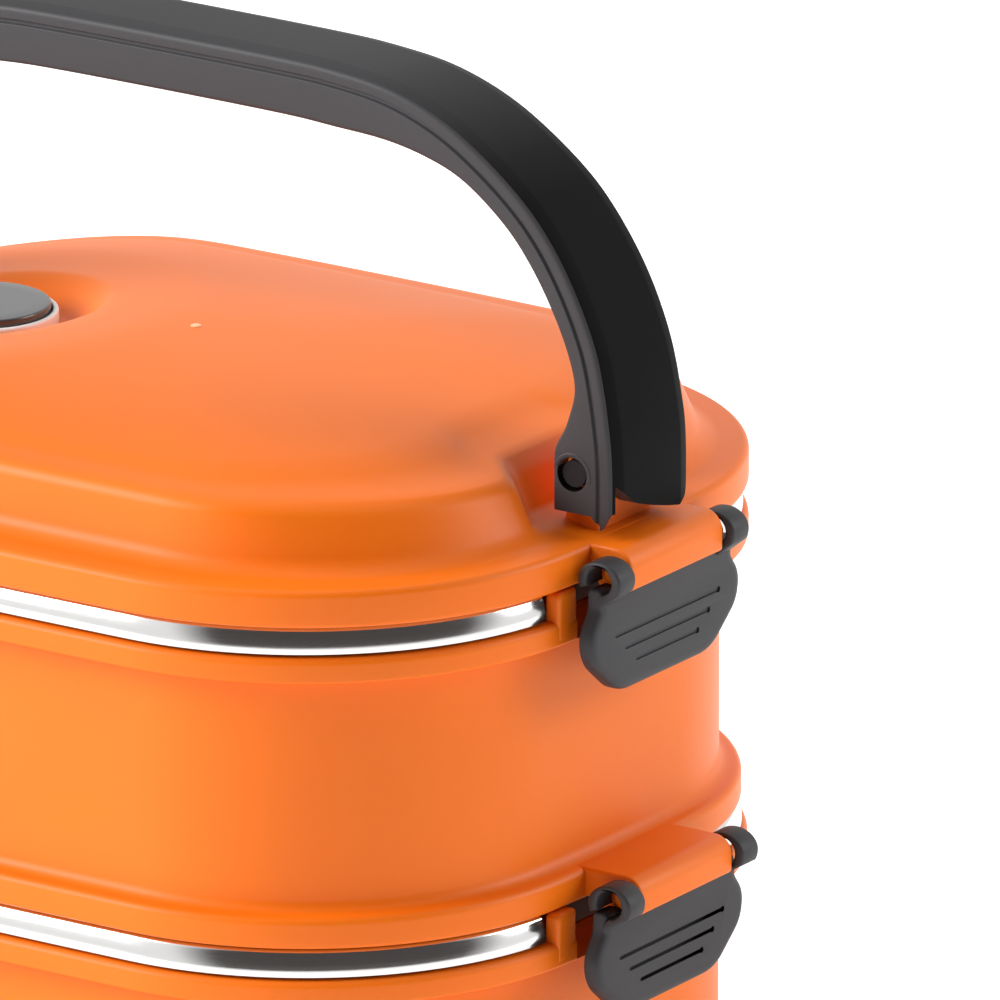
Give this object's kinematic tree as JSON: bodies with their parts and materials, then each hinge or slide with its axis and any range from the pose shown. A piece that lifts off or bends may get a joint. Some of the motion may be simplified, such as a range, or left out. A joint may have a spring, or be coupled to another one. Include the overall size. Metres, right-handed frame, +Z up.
{
  "type": "tiffin carrier",
  "caption": "Oval stacking lunch carrier with steel-lined plastic tiers, a domed lid with vent knob, snap latches at both ends and an arched carrying handle.",
  "frame": {"origin": "middle of the flat underside of the lower tier", "axes": "+X along the long side towards one pair of latches, +Y across the short side, +Z up through the lid"},
  "size_m": [0.162, 0.1158, 0.1533],
  "materials": {
    "orange_plastic": "satin moulded orange",
    "steel": "polished stainless steel",
    "charcoal_plastic": "satin charcoal",
    "black_gloss": "glossy black",
    "white_plastic": "white moulded",
    "silicone": "soft translucent grey"
  },
  "bodies": {
    "lower_tier": {"lower_shell": "orange_plastic", "lower_base_plate": "orange_plastic", "lower_liner": "steel"},
    "upper_tier": {"upper_shell": "orange_plastic", "upper_seal_ring": "silicone", "upper_base_plate": "orange_plastic", "upper_liner": "steel"},
    "lid": {"lid_shell": "orange_plastic", "lid_seal_ring": "silicone", "lid_inner_plate": "white_plastic", "handle_frame": "charcoal_plastic", "handle_filler": "charcoal_plastic", "handle_pin_right": "charcoal_plastic", "handle_pin_left": "charcoal_plastic"},
    "vent_knob": {"valve_collar": "white_plastic", "valve_cap": "black_gloss", "valve_plug": "silicone"},
    "lid_latch_right": {"latch_lid_right": "charcoal_plastic"},
    "lid_latch_left": {"latch_lid_left": "charcoal_plastic"},
    "tier_latch_right": {"latch_tier_right": "charcoal_plastic"},
    "tier_latch_left": {"latch_tier_left": "charcoal_plastic"}
  },
  "joints": [
    {"name": "upper_tier_lift", "type": "slide", "parent": "lower_tier", "child": "upper_tier", "axis": [0, 0, 1], "range_m": [0, 0.06]},
    {"name": "lid_lift", "type": "slide", "parent": "upper_tier", "child": "lid", "axis": [0, 0, 1], "range_m": [0, 0.06]},
    {"name": "vent_pull", "type": "slide", "parent": "lid", "child": "vent_knob", "axis": [0, 0, 1], "range_m": [0, 0.003]},
    {"name": "lid_latch_right_turn", "type": "hinge", "parent": "lid", "child": "lid_latch_right", "pos_m": [0.07605, 0, 0.0916], "axis": [0, -1, 0], "range_deg": [0, 110]},
    {"name": "lid_latch_left_turn", "type": "hinge", "parent": "lid", "child": "lid_latch_left", "pos_m": [-0.07605, 0, 0.0916], "axis": [0, 1, 0], "range_deg": [0, 110]},
    {"name": "tier_latch_right_turn", "type": "hinge", "parent": "upper_tier", "child": "tier_latch_right", "pos_m": [0.07775, 0, 0.0466], "axis": [0, -1, 0], "range_deg": [0, 110]},
    {"name": "tier_latch_left_turn", "type": "hinge", "parent": "upper_tier", "child": "tier_latch_left", "pos_m": [-0.07775, 0, 0.0466], "axis": [0, 1, 0], "range_deg": [0, 110]}
  ]
}
